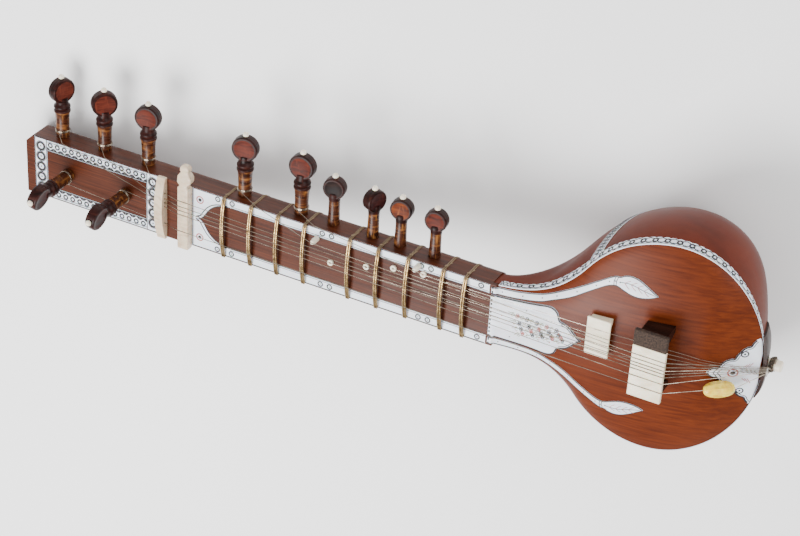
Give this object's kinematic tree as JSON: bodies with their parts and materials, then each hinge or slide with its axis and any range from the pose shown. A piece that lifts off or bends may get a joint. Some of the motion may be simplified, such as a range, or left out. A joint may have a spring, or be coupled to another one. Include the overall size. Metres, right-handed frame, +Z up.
{
  "type": "sitar",
  "caption": "Small long-necked lute with a gourd body, movable arched frets, turning pegs, two bridges and a bead that fine-tunes one string.",
  "frame": {"origin": "on the ground, at the middle of the bounding box seen from above", "axes": "+X along the instrument from the head to the tail pin, +Y towards the side pegs, +Z up; the neck rises towards the gourd because the instrument lies on its back"},
  "size_m": [0.7732, 0.2298, 0.1885],
  "materials": {
    "neck_wood": "satin varnish",
    "gourd": "satin lacquer over dried gourd",
    "board_wood": "satin varnish",
    "celluloid": "polished celluloid",
    "bone": "polished bone",
    "dark_wood": "worn dark wood",
    "string_wire": "drawn wire",
    "bead_amber": "faceted yellow bead",
    "fret_brass": "polished brass",
    "peg_brown": "worn lacquer",
    "peg_black": "dark lacquer",
    "peg_maroon": "dark lacquer",
    "peg_orange": "worn lacquer"
  },
  "bodies": {
    "instrument": {"neck_trough": "neck_wood", "neck_face_board": "neck_wood", "throat_collar": "neck_wood", "collar_band": "celluloid", "gourd_shell": "gourd", "rim_binding": "celluloid", "soundboard": "board_wood", "head_inlay": "celluloid", "neck_inlay": "celluloid", "apron_inlay": "celluloid", "leaf_arms": "celluloid", "tail_inlay": "celluloid", "tail_block": "dark_wood", "tail_pin": "bone", "string_guide": "bone", "main_nut": "bone", "main_bridge_plate": "bone", "main_bridge_cap": "dark_wood", "main_bridge_base": "dark_wood", "small_bridge_plate": "bone", "small_bridge_base": "bone", "chikari_posts": "bone", "string_buttons": "bone", "main_strings": "string_wire", "chikari_strings": "string_wire", "sympathetic_strings": "string_wire"},
    "peg_body_1": {"peg_1": "peg_brown", "peg_bead_1": "bone"},
    "peg_body_2": {"peg_2": "peg_brown", "peg_bead_2": "bone"},
    "peg_body_3": {"peg_3": "peg_brown", "peg_bead_3": "bone"},
    "peg_body_4": {"peg_4": "peg_brown", "peg_bead_4": "bone"},
    "peg_body_5": {"peg_5": "peg_brown", "peg_bead_5": "bone"},
    "peg_body_6": {"peg_6": "peg_black", "peg_bead_6": "bone"},
    "peg_body_7": {"peg_7": "peg_maroon", "peg_bead_7": "bone"},
    "peg_body_8": {"peg_8": "peg_orange", "peg_bead_8": "bone"},
    "peg_body_9": {"peg_9": "peg_brown", "peg_bead_9": "bone"},
    "peg_body_10": {"peg_10": "peg_brown", "peg_bead_10": "bone"},
    "peg_body_11": {"peg_11": "peg_brown", "peg_bead_11": "bone"},
    "fret_body_1": {"fret_1": "fret_brass"},
    "fret_body_2": {"fret_2": "fret_brass"},
    "fret_body_3": {"fret_3": "fret_brass"},
    "fret_body_4": {"fret_4": "fret_brass"},
    "fret_body_5": {"fret_5": "fret_brass"},
    "fret_body_6": {"fret_6": "fret_brass"},
    "fret_body_7": {"fret_7": "fret_brass"},
    "fret_body_8": {"fret_8": "fret_brass"},
    "fret_body_9": {"fret_9": "fret_brass"},
    "bead_body": {"tuning_bead": "bead_amber"}
  },
  "joints": [
    {"name": "peg_1_turn", "type": "hinge", "parent": "instrument", "child": "peg_body_1", "pos_m": [-0.35015, 0.033, 0.02673], "axis": [0, 1, 0], "continuous": true},
    {"name": "peg_2_turn", "type": "hinge", "parent": "instrument", "child": "peg_body_2", "pos_m": [-0.30128, 0.033, 0.03729], "axis": [0, 1, 0], "continuous": true},
    {"name": "peg_3_turn", "type": "hinge", "parent": "instrument", "child": "peg_body_3", "pos_m": [-0.25143, 0.033, 0.04807], "axis": [0, 1, 0], "continuous": true},
    {"name": "peg_4_turn", "type": "hinge", "parent": "instrument", "child": "peg_body_4", "pos_m": [-0.1444, 0.033, 0.0712], "axis": [0, 1, 0], "continuous": true},
    {"name": "peg_5_turn", "type": "hinge", "parent": "instrument", "child": "peg_body_5", "pos_m": [-0.08331, 0.033, 0.0844], "axis": [0, 1, 0], "continuous": true},
    {"name": "peg_6_turn", "type": "hinge", "parent": "instrument", "child": "peg_body_6", "pos_m": [-0.0491, 0.033, 0.09179], "axis": [0, 1, 0], "continuous": true},
    {"name": "peg_7_turn", "type": "hinge", "parent": "instrument", "child": "peg_body_7", "pos_m": [-0.00805, 0.033, 0.10067], "axis": [0, 1, 0], "continuous": true},
    {"name": "peg_8_turn", "type": "hinge", "parent": "instrument", "child": "peg_body_8", "pos_m": [0.0203, 0.033, 0.10679], "axis": [0, 1, 0], "continuous": true},
    {"name": "peg_9_turn", "type": "hinge", "parent": "instrument", "child": "peg_body_9", "pos_m": [0.05548, 0.033, 0.1144], "axis": [0, 1, 0], "continuous": true},
    {"name": "peg_10_turn", "type": "hinge", "parent": "instrument", "child": "peg_body_10", "pos_m": [-0.33719, 0, 0.04488], "axis": [-0.2112, 0, 0.9774], "continuous": true},
    {"name": "peg_11_turn", "type": "hinge", "parent": "instrument", "child": "peg_body_11", "pos_m": [-0.27073, 0, 0.05924], "axis": [-0.2112, 0, 0.9774], "continuous": true},
    {"name": "fret_1_slide", "type": "slide", "parent": "instrument", "child": "fret_body_1", "axis": [0.9774, 0, 0.2112], "range_m": [-0.003, 0.003]},
    {"name": "fret_2_slide", "type": "slide", "parent": "instrument", "child": "fret_body_2", "axis": [0.9774, 0, 0.2112], "range_m": [-0.003, 0.003]},
    {"name": "fret_3_slide", "type": "slide", "parent": "instrument", "child": "fret_body_3", "axis": [0.9774, 0, 0.2112], "range_m": [-0.003, 0.003]},
    {"name": "fret_4_slide", "type": "slide", "parent": "instrument", "child": "fret_body_4", "axis": [0.9774, 0, 0.2112], "range_m": [-0.003, 0.003]},
    {"name": "fret_5_slide", "type": "slide", "parent": "instrument", "child": "fret_body_5", "axis": [0.9774, 0, 0.2112], "range_m": [-0.003, 0.003]},
    {"name": "fret_6_slide", "type": "slide", "parent": "instrument", "child": "fret_body_6", "axis": [0.9774, 0, 0.2112], "range_m": [-0.003, 0.003]},
    {"name": "fret_7_slide", "type": "slide", "parent": "instrument", "child": "fret_body_7", "axis": [0.9774, 0, 0.2112], "range_m": [-0.003, 0.002]},
    {"name": "fret_8_slide", "type": "slide", "parent": "instrument", "child": "fret_body_8", "axis": [0.9774, 0, 0.2112], "range_m": [-0.003, 0.003]},
    {"name": "fret_9_slide", "type": "slide", "parent": "instrument", "child": "fret_body_9", "axis": [0.9774, 0, 0.2112], "range_m": [-0.003, 0.003]},
    {"name": "tuning_bead_slide", "type": "slide", "parent": "instrument", "child": "bead_body", "axis": [0.9073, 0.0316, -0.4192], "range_m": [-0.015, 0]}
  ]
}
